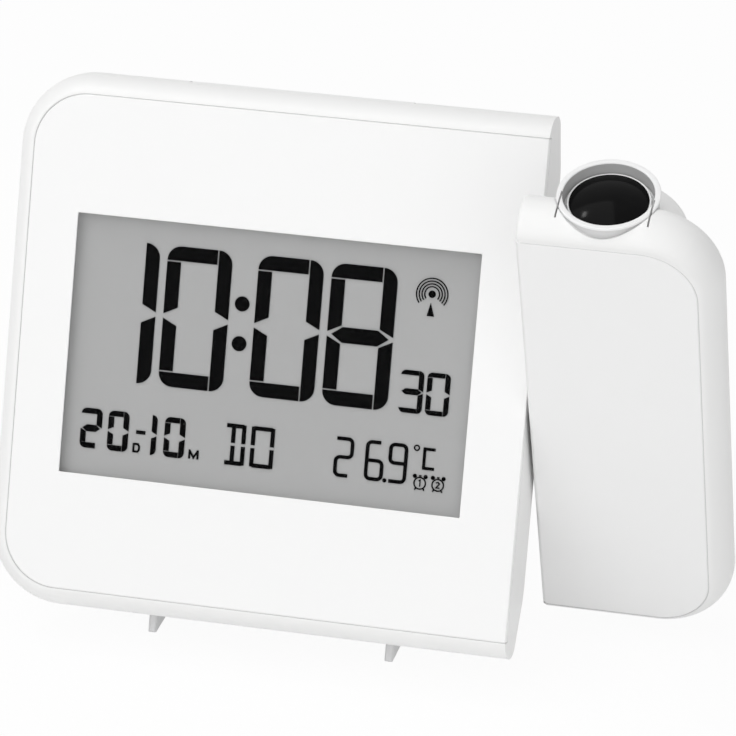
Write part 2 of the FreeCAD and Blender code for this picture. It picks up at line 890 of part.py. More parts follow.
def body_pieces():
    pieces = {
        "face_plate": face_plate(),
        "display_window": display_window(),
        "front_polarizer": front_polarizer(),
        "lcd_cell": lcd_cell(),
        "backlight_guide": backlight_guide(),
        "backlight_led": backlight_led(),
        "lcd_frame": lcd_frame(),
        "zebra_strip": zebra_strip(),
        "main_board": main_board(),
        "tact_switches": tact_switches(),
        "chip": chip(),
        "quartz_crystal": quartz_crystal(),
        "temperature_sensor": temperature_sensor(),
        "buzzer": buzzer(),
        "antenna_rod": antenna_rod(),
        "antenna_coil": antenna_coil(),
        "switch_case": switch_case(),
        "power_inlet": power_inlet(),
        "battery_cells": battery_cells(),
        "battery_springs": battery_springs(),
        "battery_contacts": battery_contacts(),
        "rear_housing": rear_housing(),
        "housing_screws": housing_screws(),
        "foot": foot(),
        "hinge_pins": hinge_pins(),
        "battery_door": battery_door(),
        "snooze_bar": snooze_bar(),
        "reset_button": reset_button(),
        "projection_switch": projection_switch(),
    }
    for name, x in zip(key_names, key_centres()):
        pieces[name] = key(x)
    return pieces


def stand_up(shape):
    """Lean the clock back and put the tips of the foot on the table."""
    lean = math.radians(lean_deg)
    floor = tip_z * math.cos(lean) - tip_y * math.sin(lean)
    placed = shape.rotated(ORIGIN, X_AXIS, -lean_deg)
    return placed.translated(V(-centre_x, -centre_y, -floor))


def main():
    os.makedirs("parts", exist_ok=True)
    pieces = body_pieces()
    pivot = V(0, pivot_y, pivot_z)
    for name, shape in arm_pieces().items():
        pieces[name] = shape.rotated(pivot, X_AXIS, arm_turn_deg)
    whole = FreeCAD.BoundBox()
    for name, shape in pieces.items():
        placed = stand_up(shape)
        assert placed.isValid(), name
        placed.exportStep("parts/" + name + ".step")
        whole.add(placed.optimalBoundingBox())
        print(name, len(placed.Solids), "solids", round(placed.Volume), "mm3")
    print("box", whole)


main()
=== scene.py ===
# %% [markdown]
# # A projection alarm clock
# A slim white clock leans back on a fold-out foot. On its right end a second, narrower
# casing turns on a hollow hub and carries a lens that throws the time onto the ceiling.
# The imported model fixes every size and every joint. This file dresses it: smooth shells,
# a segment display, a polished lens, moulded plastic, and a plain studio round it.

# %% Load the frame
import json
import math

import bmesh
import bpy
from mathutils import Matrix, Vector

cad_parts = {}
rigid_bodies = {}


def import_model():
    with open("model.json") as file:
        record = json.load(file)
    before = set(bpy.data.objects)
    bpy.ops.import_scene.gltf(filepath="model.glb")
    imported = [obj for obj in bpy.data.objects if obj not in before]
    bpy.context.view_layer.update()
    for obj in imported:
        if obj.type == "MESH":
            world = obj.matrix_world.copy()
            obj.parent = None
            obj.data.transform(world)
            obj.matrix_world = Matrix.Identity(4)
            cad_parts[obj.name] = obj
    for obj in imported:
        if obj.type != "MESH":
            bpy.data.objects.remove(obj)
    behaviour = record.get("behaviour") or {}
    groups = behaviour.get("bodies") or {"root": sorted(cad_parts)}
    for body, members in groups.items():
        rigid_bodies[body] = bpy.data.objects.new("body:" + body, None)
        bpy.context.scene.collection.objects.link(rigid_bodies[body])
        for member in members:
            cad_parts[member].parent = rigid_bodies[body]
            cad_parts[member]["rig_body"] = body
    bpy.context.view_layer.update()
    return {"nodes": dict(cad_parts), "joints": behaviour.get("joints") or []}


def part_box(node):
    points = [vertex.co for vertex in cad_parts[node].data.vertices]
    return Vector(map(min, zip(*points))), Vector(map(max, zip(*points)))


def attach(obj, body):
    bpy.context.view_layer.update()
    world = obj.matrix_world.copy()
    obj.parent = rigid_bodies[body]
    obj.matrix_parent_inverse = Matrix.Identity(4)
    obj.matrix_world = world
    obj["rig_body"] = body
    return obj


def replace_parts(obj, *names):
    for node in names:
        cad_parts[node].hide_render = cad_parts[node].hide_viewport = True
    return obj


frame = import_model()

nodes = frame["nodes"]
joints = {joint["name"]: joint for joint in frame["joints"]}

# %% [markdown]
# ## Two leaning frames
# The clock is easiest to describe upright: X to the right, Y to the back, Z up along the
# face, all in millimetres from the middle of the display. The real one leans back, and
# its arm is turned once more. The joints know both directions: the snooze bar is pressed
# straight down along the face, and the lens moves along the arm. The hinge between clock
# and arm lies in both frames, so its place anchors both. Two matrices made from these
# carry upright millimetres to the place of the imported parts.

# %% The clock's frame and the arm's frame
MM = 0.001
RIGHT = Vector((1, 0, 0))
pivot_mm = Vector((44.2, 9.0, -1.5))


def leaning_frame(up, anchor, anchor_mm):
    """Matrix from upright millimetres to metres, with anchor_mm landing on anchor."""
    turn = Matrix((RIGHT, up.cross(RIGHT), up)).transposed().to_4x4()
    return Matrix.Translation(anchor) @ turn @ Matrix.Scale(MM, 4) @ Matrix.Translation(-anchor_mm)


hinge_place = Vector(joints["projector_tilt"]["pos_m"])
clock_up = -Vector(joints["snooze_press"]["axis"]).normalized()
CLOCK = leaning_frame(clock_up, hinge_place, pivot_mm)

arm_up = Vector(joints["lens_advance"]["axis"]).normalized()
ARM = leaning_frame(arm_up, hinge_place, pivot_mm)

lean = math.degrees(math.atan2(clock_up.y, clock_up.z))
print("the clock leans back by", round(lean, 1), "degrees")

# %% [markdown]
# ## Node maths as plain expressions
# A procedural finish is a sum of small patterns. Writing `0.4 + 0.02 * grain` is easier to
# read than wiring boxes, so one class wraps a socket and lets Python operators add the
# Math nodes. A second class has one method that adds any other node, and is the base of
# both the finishes here and the geometry recipes further down.

# %% Wrapped sockets


class Wire:
    """An output socket on which Python's operators build Math nodes."""

    def __init__(self, graph, socket):
        self.graph = graph
        self.socket = socket

    def maths(self, operation, first, second):
        return self.graph.node("ShaderNodeMath", {"operation": operation}, {0: first, 1: second})

    def __add__(self, other):
        return self.maths("ADD", self, other)

    def __sub__(self, other):
        return self.maths("SUBTRACT", self, other)

    def __mul__(self, other):
        return self.maths("MULTIPLY", self, other)

    __radd__ = __add__
    __rmul__ = __mul__


class Graph:
    """A node tree, with one method that adds any node."""

    def feed(self, socket, value):
        if isinstance(value, Wire):
            self.tree.links.new(value.socket, socket)
        else:
            socket.default_value = value

    def node(self, kind, settings=None, values=None, output=0):
        """Its settings come first, then the values or links of its sockets."""
        made = self.tree.nodes.new(kind)
        for label, value in (settings or {}).items():
            setattr(made, label, value)
        for label, value in (values or {}).items():
            self.feed(made.inputs[label], value)
        return Wire(self, made.outputs[output])


class Finish(Graph):
    """A material built from nodes, round one Principled shader."""

    def __init__(self, name, colour, roughness, **steady):
        self.material = bpy.data.materials.new(name)
        self.material.use_nodes = True
        self.tree = self.material.node_tree
        self.shader = self.tree.nodes["Principled BSDF"]
        self.feed(self.shader.inputs["Base Color"], (*colour, 1.0))
        self.feed(self.shader.inputs["Roughness"], roughness)
        for label, value in steady.items():
            self.feed(self.shader.inputs[label.replace("_", " ")], value)
        self.place = self.node("ShaderNodeTexCoord", output="Object")

    def noise(self, per_metre, detail=2.0):
        return self.node("ShaderNodeTexNoise", {}, {"Vector": self.place, "Scale": per_metre, "Detail": detail})

    def blend(self, factor, dark, light):
        mixed = self.node("ShaderNodeMix", {"data_type": "RGBA"},
                          {0: factor, 6: (*dark, 1.0), 7: (*light, 1.0)}, output=2)
        self.feed(self.shader.inputs["Base Color"], mixed)

    def bump(self, height, depth_mm):
        raised = self.node("ShaderNodeBump", {}, {"Height": height, "Distance": depth_mm * MM, "Strength": 1.0})
        self.feed(self.shader.inputs["Normal"], raised)

    def set(self, label, value):
        self.feed(self.shader.inputs[label], value)


# %% [markdown]
# ## Moulded white plastic
# The casing is white ABS from a lightly spark-eroded mould: even in colour, with a very
# fine tooth that softens reflections. The front plates are the same white from a smoother
# mould. A broad, weak noise keeps the white from looking painted on, a fine noise gives
# the tooth through bump, and the roughness wanders a little, as handled plastic does.

# %% White finishes


def moulded(name, colour, roughness, tooth_mm, spread=0.012, **steady):
    """Moulded plastic: slight drift of colour and gloss, and a fine eroded tooth."""
    finish = Finish(name, colour, roughness, **steady)
    drift = finish.noise(38.0)
    darker = tuple(channel * (1 - spread) for channel in colour)
    lighter = tuple(min(1.0, channel * (1 + spread)) for channel in colour)
    finish.blend(drift, darker, lighter)
    tooth = finish.noise(2600.0, 3.0)
    finish.set("Roughness", roughness + 0.06 * (finish.noise(160.0) - 0.5) + 0.04 * (tooth - 0.5))
    finish.bump(tooth, tooth_mm)
    return finish.material


casing_white = moulded("casing_white", (0.905, 0.905, 0.90), 0.42, 0.010)
face_white = moulded("face_white", (0.93, 0.93, 0.928), 0.34, 0.004, spread=0.006)
trim_white = moulded("trim_white", (0.90, 0.90, 0.90), 0.36, 0.006)
foot_plastic = moulded("foot_plastic", (0.84, 0.84, 0.845), 0.48, 0.012)
# Painted shade: the next two greys stand for the shade in the focus ring's bore and under its lip.
bore_painted_shade = moulded("bore_painted_shade", (0.50, 0.50, 0.50), 0.55, 0.008)
neck_painted_shade = moulded("neck_painted_shade", (0.72, 0.72, 0.72), 0.50, 0.008)
# Painted shade: this grey stands for the shade in the seams round the front plates.
seam_painted_shade = moulded("seam_painted_shade", (0.66, 0.66, 0.66), 0.70, 0.006)
seal_white = moulded("seal_white", (0.84, 0.84, 0.84), 0.70, 0.006)
key_grey = moulded("key_grey", (0.50, 0.51, 0.52), 0.50, 0.010)
inner_black = moulded("inner_black", (0.030, 0.030, 0.032), 0.50, 0.010)
print("white finishes made")

# %% [markdown]
# ## Display finishes
# The display is a reflective one: a grey mirror film behind glass, with black segments.
# The film has a very fine sparkle and a faint cloudiness. The segments are matt and nearly
# black, so they carry no gloss of their own. The window in front is clear acrylic: almost
# fully transparent, it only adds a weak reflection.

# %% Display finishes


def reflective_film():
    finish = Finish("reflective_film", (0.40, 0.40, 0.40), 0.55)
    sparkle = finish.noise(5200.0, 1.0)
    cloud = finish.noise(24.0, 2.0)
    finish.blend(0.7 * sparkle + 0.3 * cloud, (0.424, 0.426, 0.426), (0.464, 0.466, 0.466))
    finish.bump(sparkle, 0.002)
    return finish.material


def segment_ink():
    finish = Finish("segment_ink", (0.002, 0.002, 0.002), 0.6, IOR=1.0)
    haze = finish.noise(900.0, 2.0)
    finish.blend(haze, (0.0012, 0.0012, 0.0014), (0.003, 0.003, 0.0032))
    return finish.material


def clear_acrylic():
    finish = Finish("clear_acrylic", (0.03, 0.03, 0.03), 0.08, Alpha=0.03)
    smear = finish.noise(60.0, 2.0)
    finish.set("Roughness", 0.05 + 0.06 * smear)
    finish.material.surface_render_method = "BLENDED"
    return finish.material


film = reflective_film()
ink = segment_ink()
acrylic = clear_acrylic()
print("display finishes made")

# %% [markdown]
# ## Lens, metal and board finishes
# The lens is deep black glass with a low coated reflection. Screws and pins are zinc
# plated, with a fine turned grain. The boards are green lacquer, the ferrite rod is dull
# black, and the winding copper: they sit inside, but a finish each keeps them true when
# the casing is taken apart.

# %% Lens, metal and board finishes


def coated_glass():
    finish = Finish("coated_glass", (0.004, 0.004, 0.0042), 0.10, IOR=1.12)
    dust = finish.noise(700.0, 3.0)
    finish.blend(dust, (0.003, 0.003, 0.0032), (0.0055, 0.0055, 0.0057))
    finish.set("Roughness", 0.08 + 0.05 * finish.noise(90.0))
    return finish.material


def plated(name, colour, roughness):
    finish = Finish(name, colour, roughness, Metallic=1.0)
    grain = finish.noise(1500.0, 4.0)
    finish.blend(grain, tuple(0.86 * channel for channel in colour), colour)
    finish.set("Roughness", roughness + 0.15 * (grain - 0.5))
    return finish.material


def plain_glass(name, colour, alpha):
    finish = Finish(name, colour, 0.05, Alpha=alpha)
    finish.set("Roughness", 0.04 + 0.05 * finish.noise(120.0))
    finish.material.surface_render_method = "BLENDED"
    return finish.material


lens_glass = coated_glass()
zinc = plated("zinc", (0.62, 0.62, 0.60), 0.34)
spring_plate = plated("spring_plate", (0.78, 0.77, 0.74), 0.22)
copper = plated("copper_winding", (0.72, 0.34, 0.16), 0.30)
cell_sleeve = moulded("cell_sleeve", (0.34, 0.35, 0.37), 0.30, 0.003, spread=0.05)
board_lacquer = moulded("board_lacquer", (0.035, 0.16, 0.07), 0.30, 0.004, spread=0.12)
ferrite = moulded("ferrite", (0.055, 0.055, 0.058), 0.62, 0.020, spread=0.10)
lead_jacket = moulded("lead_jacket", (0.30, 0.31, 0.33), 0.50, 0.008)
elastomer = moulded("elastomer", (0.62, 0.44, 0.50), 0.60, 0.008)
led_red = moulded("led_red", (0.45, 0.02, 0.02), 0.18, 0.002, spread=0.10)
cell_glass = plain_glass("cell_glass", (0.70, 0.76, 0.74), 0.55)
optic_glass = plain_glass("optic_glass", (0.88, 0.92, 0.92), 0.30)
print("materials:", len(bpy.data.materials))

# %% [markdown]
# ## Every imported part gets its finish
# A part whose shape is right keeps its own mesh and only gets a material. The table says
# which finish each node wears, by what the real part is made of.

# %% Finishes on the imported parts
worn = {
    casing_white: ["rear_housing", "arm_housing", "battery_door"],
    face_white: ["face_plate", "arm_face_plate", "backlight_guide"],
    trim_white: ["snooze_bar", "focus_ring", "lens_cell"],
    foot_plastic: ["foot"],
    key_grey: ["mode_button", "set_button", "up_button", "down_button", "alarm_button",
               "reset_button", "projection_switch"],
    inner_black: ["lcd_frame", "tact_switches", "chip", "temperature_sensor", "buzzer", "power_inlet",
                  "pivot_hub", "projector_tube"],
    film: ["front_polarizer"],
    acrylic: ["display_window"],
    cell_glass: ["lcd_cell", "projection_lcd"],
    optic_glass: ["condenser_lens"],
    lens_glass: ["objective_lens"],
    zinc: ["housing_screws", "arm_screws", "hinge_pins", "quartz_crystal", "switch_case"],
    spring_plate: ["battery_springs", "battery_contacts", "hub_clip", "friction_washer"],
    copper: ["antenna_coil"],
    ferrite: ["antenna_rod"],
    cell_sleeve: ["battery_cells"],
    board_lacquer: ["main_board", "projector_board"],
    lead_jacket: ["projector_lead"],
    elastomer: ["zebra_strip"],
    led_red: ["backlight_led", "projector_led"],
}
for material, names in worn.items():
    for name in names:
        nodes[name].data.materials.clear()
        nodes[name].data.materials.append(material)
print("nodes dressed:", sum(len(names) for names in worn.values()))

# %% [markdown]
# ## Smooth copies of the moulded shells
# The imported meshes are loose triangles, so light breaks on them. A copy whose doubled
# corners are merged can be shaded smoothly: coplanar triangles are joined, edges that turn
# by more than a set angle stay sharp, a narrow bevel catches the light on them as the
# radius of a real mould does, and weighted normals keep the flat faces flat. Last, each
# copy is held inside the box of the part it stands for.

# %% Helpers for smooth meshes
sharp_turn = 28
same_corner = 0.002 * MM
flat_turn = 0.6


def smooth_by_angle(mesh, degrees=sharp_turn):
    """Mark edges that turn sharply, so that shading stays smooth across all others."""
    work = bmesh.new()
    work.from_mesh(mesh)
    limit = math.radians(degrees)
    for edge in work.edges:
        edge.smooth = len(edge.link_faces) == 2 and edge.calc_face_angle(0.0) < limit
    for face in work.faces:
        face.smooth = True
    work.to_mesh(mesh)
    work.free()


def settle(piece):
    """Turn a piece with live modifiers into a plain mesh."""
    depsgraph = bpy.context.evaluated_depsgraph_get()
    finished = bpy.data.meshes.new_from_object(piece.evaluated_get(depsgraph), depsgraph=depsgraph)
    piece.modifiers.clear()
    piece.data = finished
    return piece


def add_piece(name, mesh, material, body):
    piece = bpy.data.objects.new(name, mesh)
    bpy.context.scene.collection.objects.link(piece)
    if material is not None:
        mesh.materials.clear()
        mesh.materials.append(material)
    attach(piece, body)
    return piece


def welded(node):
    """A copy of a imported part's mesh with its doubled corners merged and flat faces joined."""
    mesh = nodes[node].data.copy()
    work = bmesh.new()
    work.from_mesh(mesh)
    bmesh.ops.remove_doubles(work, verts=work.verts, dist=same_corner)
    bmesh.ops.dissolve_limit(work, angle_limit=math.radians(flat_turn), verts=work.verts, edges=work.edges)
    work.to_mesh(mesh)
    work.free()
    return mesh


def weigh_edges(mesh, place, chosen):
    """Give full bevel weight to sharp edges whose both ends are chosen, in upright millimetres."""
    back = place.inverted()
    work = bmesh.new()
    work.from_mesh(mesh)
    layer = work.edges.layers.float.new("bevel_weight_edge")
    count = 0
    for edge in work.edges:
        sharp = len(edge.link_faces) == 2 and edge.calc_face_angle(0.0) > math.radians(sharp_turn)
        if sharp and all(chosen(back @ vert.co) for vert in edge.verts):
            edge[layer] = 1.0
            count += 1
    work.to_mesh(mesh)
    work.free()
    return count


def round_edges(piece, radius_mm, segments, by_weight=False):
    bevel = piece.modifiers.new("mould radius", "BEVEL")
    bevel.width = radius_mm * MM
    bevel.segments = segments
    bevel.limit_method = "WEIGHT" if by_weight else "ANGLE"
    bevel.angle_limit = math.radians(sharp_turn)
    bevel.use_clamp_overlap = False
    bevel.harden_normals = not by_weight


# %% [markdown]
# One function puts these steps together. A few edges get a larger radius of their own: the
# outer profile of the arm's left end, its plate's corner there, and the tips of the foot.

# %% Smooth copies


def hold_inside(piece, low, high):
    """Keep every corner of a piece within a box."""
    for vertex in piece.data.vertices:
        vertex.co = [min(max(value, least), most) for value, least, most in zip(vertex.co, low, high)]


def smooth_copy(node, radius_mm=0.0, special=None):
    """A welded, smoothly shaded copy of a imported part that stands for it."""
    mesh = welded(node)
    piece = bpy.data.objects.new(node + "_shell", mesh)
    bpy.context.scene.collection.objects.link(piece)
    if special:
        special_radius, place, chosen = special
        print(node, "specially rounded edges:", weigh_edges(mesh, place, chosen))
        round_edges(piece, special_radius, 5, by_weight=True)
        settle(piece)
    smooth_by_angle(piece.data)
    if radius_mm:
        round_edges(piece, radius_mm, 2)
    weighted = piece.modifiers.new("flat faces stay flat", "WEIGHTED_NORMAL")
    weighted.keep_sharp = True
    weighted.weight = 60
    settle(piece)
    hold_inside(piece, *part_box(node))
    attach(piece, nodes[node]["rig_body"])
    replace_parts(piece, node)
    return piece


arm_left = 44.5
near_end = 41.5
near_back = 11.0
foot_tip_back = 16.0


def on_arm_end(spot):
    """The outer profile of the arm's left end, without its openings."""
    return abs(spot.x - arm_left) < 0.02 and (abs(spot.z) > near_end or spot.y > near_back)


def on_plate_corner(spot):
    """The plate's front edge and lower corner at the arm's left end."""
    return abs(spot.x - arm_left) < 0.1 and (spot.y < 0.1 or spot.z < -near_end)


def on_foot_tip(spot):
    return spot.y < foot_tip_back


special_edges = {"arm_housing": (0.8, ARM, on_arm_end), "arm_face_plate": (0.7, ARM, on_plate_corner),
                 "foot": (0.45, CLOCK, on_foot_tip)}
radii = {"rear_housing": 0.0, "arm_housing": 0.0, "battery_door": 0.12, "snooze_bar": 0.12, "foot": 0.15,
         "mode_button": 0.15, "set_button": 0.15, "up_button": 0.15, "down_button": 0.15, "alarm_button": 0.15,
         "projection_switch": 0.1, "face_plate": 0.2, "arm_face_plate": 0.2}
for node, radius in radii.items():
    shell = smooth_copy(node, radius, special_edges.get(node))
    print(shell.name, len(shell.data.polygons), "faces")

# %% [markdown]
# ## Outlines for the display
# Each mark on the display is a thin plate, cut from an outline in the plane of the face.
# Two small helpers make outlines: one rounds a corner with an arc, the other gives a bent
# stroke an even width. The plates lie just in front of the reflective film.

# %% Outline helpers
mark_front = 1.56
mark_back = 1.68


def arc(x, z, radius, start, end, steps=8):
    """Points on an arc, angles in degrees, counted from +X towards +Z."""
    points = []
    for step in range(steps + 1):
        angle = math.radians(start + (end - start) * step / steps)
        points.append((x + radius * math.cos(angle), z + radius * math.sin(angle)))
    return points


def rounded_path(points, radius, steps=5):
    """An open path whose inner corners are replaced by arcs."""
    path = [Vector(points[0])]
    for before, corner, after in zip(points, points[1:], points[2:]):
        corner = Vector(corner)
        arm_in = (Vector(before) - corner).normalized()
        arm_out = (Vector(after) - corner).normalized()
        half = arm_in.angle(arm_out) / 2
        cut = radius / math.tan(half)
        centre = corner + (arm_in + arm_out).normalized() * radius / math.sin(half)
        first = corner + arm_in * cut - centre
        last = corner + arm_out * cut - centre
        sweep = first.angle_signed(last)
        for step in range(steps + 1):
            turned = Matrix.Rotation(-sweep * step / steps, 2) @ first
            path.append(centre + turned)
    path.append(Vector(points[-1]))
    return path


def stroke(points, width, radius=0.0):
    """Outline of a bent stroke of even width."""
    path = rounded_path(points, radius) if radius else [Vector(point) for point in points]
    left = []
    right = []
    for index, point in enumerate(path):
        ahead = path[min(index + 1, len(path) - 1)] - point
        behind = point - path[max(index - 1, 0)]
        along = ahead.normalized() + behind.normalized()
        along.normalize()
        share = max(0.5, along.dot((ahead if ahead.length else behind).normalized()))
        side = Vector((-along.y, along.x)) * width / 2 / share
        left.append(tuple(point + side))
        right.append(tuple(point - side))
    return left + right[::-1]


def plates(name, outlines):
    """Thin black plates on the clock's face, one for each outline, joined in one piece."""
    work = bmesh.new()
    for outline in outlines:
        near = [work.verts.new(CLOCK @ Vector((x, mark_front, z))) for x, z in outline]
        far = [work.verts.new(CLOCK @ Vector((x, mark_back, z))) for x, z in outline]
        work.faces.new(near)
        work.faces.new(far[::-1])
        for index in range(len(outline)):
            after = (index + 1) % len(outline)
            work.faces.new((near[after], near[index], far[index], far[after]))
    bmesh.ops.recalc_face_normals(work, faces=work.faces)
    mesh = bpy.data.meshes.new(name)
    work.to_mesh(mesh)
    work.free()
    return add_piece(name, mesh, ink, "clock_body")


# %% [markdown]
# ## Seven segments
# The big figures are the familiar seven bars, with two habits of this display: the top
# and bottom bars own the round corners on the left, the side bars own those on the right,
# and the bars beside the waist end in slants that leave a notch. One function gives the
# outlines of any figure from its cell, so the hours, minutes, seconds and date share it.

# %% Seven-segment figures
bars_of = {"0": "abcdef", "1": "bc", "2": "abged", "3": "abgcd", "8": "abcdefg"}


def figure(digit, left, right, low, high, bar, cap, gap):
    """Outlines of one figure: bar is the side bars' width, cap the height of top and bottom."""
    waist = (low + high) / 2
    inner_left = left + bar
    inner_right = right - bar
    notch = 0.28 * gap + 0.13 * bar
    slant = 0.65 * bar
    stop = inner_right - gap
    bars = {
        "a": arc(left + bar, high - bar, bar, 180, 90) + [(stop, high), (stop, high - cap), (left, high - cap)],
        "d": arc(left + bar, low + bar, bar, 180, 270) + [(stop, low), (stop, low + cap), (left, low + cap)],
        "b": arc(right - bar, high - bar, bar, 90, 0) + [(right, waist + notch), (inner_right, waist + slant)],
        "c": arc(right - bar, low + bar, bar, 270, 360) + [(right, waist - notch), (inner_right, waist - slant)],
        "f": [(left, high - cap - gap), (inner_left, high - cap - gap), (inner_left, waist + slant),
              (left, waist + notch)],
        "e": [(left, low + cap + gap), (inner_left, low + cap + gap), (inner_left, waist - slant),
              (left, waist - notch)],
        "g": [(left + 0.3 * bar, waist), (inner_left + 0.1 * bar, waist + slant - gap),
              (inner_right - 0.1 * bar, waist + slant - gap), (right - 0.3 * bar, waist),
              (inner_right - 0.1 * bar, waist - slant + gap), (inner_left + 0.1 * bar, waist - slant + gap)],
    }
    if digit == "1":
        bars["b"] = [(inner_right, high)] + bars["b"]
        bars["c"] = [(inner_right, low)] + bars["c"]
    return [bars[letter] for letter in bars_of[digit]]


big_low = -5.82
big_high = 17.95
big = []
big += figure("1", -32.1, -20.88, big_low, big_high, 2.42, 2.45, 0.22)
big += figure("0", -19.52, -8.26, big_low, big_high, 2.38, 2.45, 0.22)
big += figure("0", -3.70, 7.52, big_low, big_high, 2.38, 2.45, 0.22)
big += figure("8", 8.90, 20.20, big_low, big_high, 2.38, 2.45, 0.22)
big += [arc(-6.03, z, 1.27, 0, 345, 23) for z in (9.42, 2.71)]
plates("time_figures", big)
print("hours and minutes:", len(big), "bars and dots")

# %% [markdown]
# ## Small figures and signs
# The lower row has three habits: the date has thick notched bars, the temperature has
# even strokes with round corners, and the weekday is drawn with separate straight bars.
# Strokes of even width make the last two and the tiny unit letters.

# %% Seconds, date, weekday and temperature
row_low = -17.70
row_high = -10.90

small = []
small += figure("3", 22.10, 26.05, -5.70, 1.45, 0.86, 0.80, 0.05)
small += figure("0", 26.62, 30.55, -5.70, 1.45, 0.86, 0.80, 0.10)
small += figure("2", -32.42, -28.72, row_low, row_high, 0.96, 0.94, 0.04)
small += figure("0", -27.62, -24.00, row_low, row_high, 0.96, 0.94, 0.10)
small += figure("1", -22.90, -19.06, row_low, row_high, 0.90, 0.94, 0.10)
small += figure("0", -17.72, -14.10, row_low, row_high, 0.96, 0.94, 0.10)
small.append(stroke([(-22.65, -14.08), (-21.05, -14.08)], 0.62))
plates("seconds_and_date", small)

thin = 0.60
round_corner = 0.75


def even_figure(digit, left, right, low, high):
    """Figures of even strokes with round corners."""
    x0 = left + thin / 2
    x1 = right - thin / 2
    z0 = low + thin / 2
    z1 = high - thin / 2
    waist = (low + high) / 2
    paths = {
        "2": [[(x0, z1), (x1, z1), (x1, waist), (x0, waist), (x0, z0), (x1 - 0.5, z0)]],
        "6": [[(x1 - 0.4, z1), (x0, z1), (x0, z0), (x1, z0), (x1, waist), (x0 + 0.2, waist)]],
        "9": [[(x0, z0), (x1, z0), (x1, z1), (x0, z1), (x0, waist), (x1 - 0.2, waist)]],
    }
    return [stroke(path, thin, round_corner) for path in paths[digit]]


signs = []
signs += even_figure("2", 11.85, 15.15, row_low, row_high)
signs += even_figure("6", 17.15, 20.40, row_low, row_high)
signs += even_figure("9", 21.12, 24.40, row_low, row_high)
signs.append(arc(20.75, -17.40, 0.36, 0, 330, 11))
signs.append(stroke([(29.0, -11.38), (27.20, -11.38), (27.20, -14.62), (29.0, -14.62)], 0.50))

day_bar = 0.70
for x0, x1, z0, z1 in ((-6.95, -3.95, -11.15, -11.15), (-6.95, -3.95, -17.45, -17.45),
                       (-2.2, 1.0, -11.15, -11.15), (-2.2, 1.0, -17.45, -17.45)):
    signs.append(stroke([(x0, z0), (x1, z1)], day_bar))
for x in (-5.72, -3.92, -2.28, 1.06):
    signs.append(stroke([(x, -10.92), (x, -14.05)], day_bar))
    signs.append(stroke([(x, -14.55), (x, -17.68)], day_bar))

letter = 0.33
signs.append(stroke([(-22.92, -16.1), (-22.2, -16.1), (-21.95, -16.45), (-21.95, -17.05), (-22.2, -17.4),
                     (-22.92, -17.4), (-22.92, -15.98)], letter))
signs.append(stroke([(-13.1, -17.52), (-13.1, -16.0)], letter))
signs.append(stroke([(-13.1, -16.12), (-12.38, -17.3), (-11.66, -16.12)], letter))
signs.append(stroke([(-11.66, -17.52), (-11.66, -16.0)], letter))
plates("weekday_and_temperature", signs)


def ring_outline(x, z, radius, width, start=0, end=358, steps=26):
    outer = arc(x, z, radius + width / 2, start, end, steps)
    inner = arc(x, z, radius - width / 2, end, start, steps)
    return outer + inner


icons = [ring_outline(25.82, -11.34, 0.42, 0.22)]
radio_x = 26.18
radio_z = 14.40
icons.append(arc(radio_x, radio_z, 0.62, 0, 340, 17))
for radius in (1.25, 1.72, 2.19, 2.66):
    icons.append(ring_outline(radio_x, radio_z, radius, 0.20, -38, 218, 22))
icons.append([(radio_x - 0.1, 12.95), (radio_x + 0.62, 10.72), (radio_x - 0.62, 10.72)])
for x in (26.78, 29.86):
    icons.append(ring_outline(x, -17.20, 0.98, 0.22))
    for side in (-1, 1):
        icons.append(arc(x + side * 0.92, -16.05, 0.36, 0, 330, 9))
        icons.append(stroke([(x + side * 0.62, -18.0), (x + side * 0.8, -18.38)], 0.24))
    icons.append(stroke([(x - 0.22, -15.95), (x + 0.22, -15.95)], 0.24))
icons.append(stroke([(26.58, -16.85), (26.82, -16.65), (26.82, -17.75)], 0.2))
icons.append(stroke([(29.55, -16.85), (29.86, -16.7), (30.15, -16.95), (29.58, -17.65), (30.2, -17.65)], 0.2))
plates("display_icons", icons)
print("small figures:", len(small) + len(signs) + len(icons), "outlines")

# %% [markdown]
# ## The lens and its ring
# Round parts are lathe work: a half section, turned round the arm's long axis. The white
# focus ring has a thin rounded lip and a step inside for the lens carrier. The lens is a
# shallow black dome. A fine section with rounded corners keeps every highlight clean.

# %% Turned parts
lens_x = 57.95
lens_y = 9.25
lathe_steps = 128


def round_lens(radius, angle, height):
    """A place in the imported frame, from a radius and an angle round the lens axis."""
    return ARM @ Vector((lens_x + radius * math.cos(angle), lens_y + radius * math.sin(angle), height))


def turned(name, section, material, body, slot, closed=True):
    """Turn a half section of (radius, height) points round the lens axis."""
    work = bmesh.new()
    rings = []
    for radius, height in section:
        ring = []
        if radius < 1e-6:
            ring = [work.verts.new(round_lens(0.0, 0.0, height))] * lathe_steps
        else:
            for step in range(lathe_steps):
                ring.append(work.verts.new(round_lens(radius, 2 * math.pi * step / lathe_steps, height)))
        rings.append(ring)
    pairs = list(zip(rings, rings[1:]))
    if closed:
        pairs.append((rings[-1], rings[0]))
    for lower, upper in pairs:
        for step in range(lathe_steps):
            after = (step + 1) % lathe_steps
            corners = [lower[step], lower[after], upper[after], upper[step]]
            distinct = list(dict.fromkeys(corners))
            if len(distinct) > 2:
                work.faces.new(distinct)
    bmesh.ops.recalc_face_normals(work, faces=work.faces)
    mesh = bpy.data.meshes.new(name)
    work.to_mesh(mesh)
    work.free()
    smooth_by_angle(mesh)
    return add_piece(name, mesh, material, body)


def lip(radius, height, round_mm, start, end, steps=5):
    """A rounded corner of a section whose arc is centred at (radius, height)."""
    return arc(radius, height, round_mm, start, end, steps)


